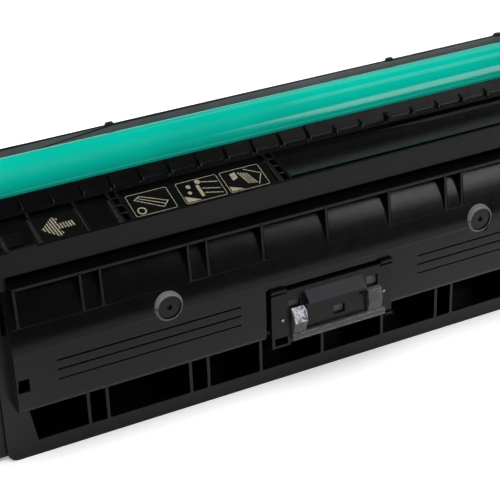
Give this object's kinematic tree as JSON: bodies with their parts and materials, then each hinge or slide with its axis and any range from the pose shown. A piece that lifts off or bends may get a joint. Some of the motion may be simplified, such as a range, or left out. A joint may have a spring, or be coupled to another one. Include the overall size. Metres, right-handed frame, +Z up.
{
  "type": "toner cartridge",
  "caption": "Long black toner cartridge with a green imaging drum on top, a marked tray, a bulged front wall with gussets, a chip holder and open pockets below.",
  "frame": {"origin": "middle of the flat face the cartridge rests on", "axes": "X runs along the cartridge with the drive gears at +X, Y from the front wall to the back, Z up"},
  "size_m": [0.3425, 0.0836, 0.1256],
  "materials": {
    "base_frame": "fine grain",
    "hopper": "fine grain",
    "fill_cap": "smooth",
    "front_cover": "fine grain",
    "cover_plugs": "smooth",
    "upper_frame": "fine grain",
    "guide_pad": "smooth",
    "ladder_rungs": "fine grain",
    "arrow_plate": "printed arrow",
    "picture_plate": "printed frames",
    "tray_panel": "fine grain",
    "rear_housing": "satin",
    "end_cap_left": "fine grain",
    "end_cap_right": "fine grain",
    "cap_screws": "zinc plated",
    "contact_plates": "bright",
    "cleaning_blade": "translucent amber",
    "blade_bracket": "zinc plated sheet",
    "blade_screws": "zinc plated",
    "metering_blade": "sheet steel",
    "roller_bushes": "natural acetal",
    "charge_bushes": "conductive",
    "drum_pin": "ground",
    "chip_holder": "smooth",
    "chip_board": "grey pads",
    "light_guide": "clear moulding",
    "holder_pins": "bright",
    "drum_tube": "glossy photoconductor coat",
    "drum_flange": "natural",
    "drum_gear": "natural acetal",
    "charge_core": "ground",
    "charge_roller": "smooth",
    "developer_shaft": "ground",
    "developer_roller": "matt",
    "developer_gear": "natural acetal",
    "supply_shaft": "ground",
    "supply_roller": "open foam",
    "supply_gear": "natural acetal",
    "stirrer_shaft": "moulded",
    "stirrer_sheet": "clear sheet",
    "stirrer_gear": "natural acetal"
  },
  "bodies": {
    "housing": {"base_frame": "base_frame", "hopper": "hopper", "fill_cap": "fill_cap", "front_cover": "front_cover", "cover_plugs": "cover_plugs", "upper_frame": "upper_frame", "guide_pad": "guide_pad", "ladder_rungs": "ladder_rungs", "arrow_plate": "arrow_plate", "picture_plate": "picture_plate", "tray_panel": "tray_panel", "rear_housing": "rear_housing", "end_cap_left": "end_cap_left", "end_cap_right": "end_cap_right", "cap_screws": "cap_screws", "contact_plates": "contact_plates", "cleaning_blade": "cleaning_blade", "blade_bracket": "blade_bracket", "blade_screws": "blade_screws", "metering_blade": "metering_blade", "roller_bushes": "roller_bushes", "charge_bushes": "charge_bushes", "drum_pin": "drum_pin", "chip_holder": "chip_holder", "chip_board": "chip_board", "light_guide": "light_guide", "holder_pins": "holder_pins"},
    "drum": {"drum_tube": "drum_tube", "drum_flange": "drum_flange", "drum_gear": "drum_gear"},
    "charge": {"charge_core": "charge_core", "charge_roller": "charge_roller"},
    "developer": {"developer_shaft": "developer_shaft", "developer_roller": "developer_roller", "developer_gear": "developer_gear"},
    "supply": {"supply_shaft": "supply_shaft", "supply_roller": "supply_roller", "supply_gear": "supply_gear"},
    "stirrer": {"stirrer_shaft": "stirrer_shaft", "stirrer_sheet": "stirrer_sheet", "stirrer_gear": "stirrer_gear"}
  },
  "joints": [
    {"name": "drum_spin", "type": "hinge", "parent": "housing", "child": "drum", "pos_m": [0, 0.018, 0.108], "axis": [1, 0, 0], "continuous": true},
    {"name": "charge_spin", "type": "hinge", "parent": "housing", "child": "charge", "pos_m": [0, 0.00345, 0.0996], "axis": [1, 0, 0], "continuous": true},
    {"name": "developer_spin", "type": "hinge", "parent": "housing", "child": "developer", "pos_m": [0, 0.01974, 0.08808], "axis": [1, 0, 0], "continuous": true},
    {"name": "supply_spin", "type": "hinge", "parent": "housing", "child": "supply", "pos_m": [0, 0.0101, 0.07659], "axis": [1, 0, 0], "continuous": true},
    {"name": "stirrer_spin", "type": "hinge", "parent": "housing", "child": "stirrer", "pos_m": [0, -0.00481, 0.05529], "axis": [1, 0, 0], "continuous": true}
  ],
  "couplings": [
    {"joint": "developer_spin", "follows": "drum_spin", "ratio": -2.3333},
    {"joint": "supply_spin", "follows": "drum_spin", "ratio": 2.0417},
    {"joint": "stirrer_spin", "follows": "drum_spin", "ratio": -0.90741},
    {"joint": "charge_spin", "follows": "drum_spin", "ratio": -2.6667}
  ]
}
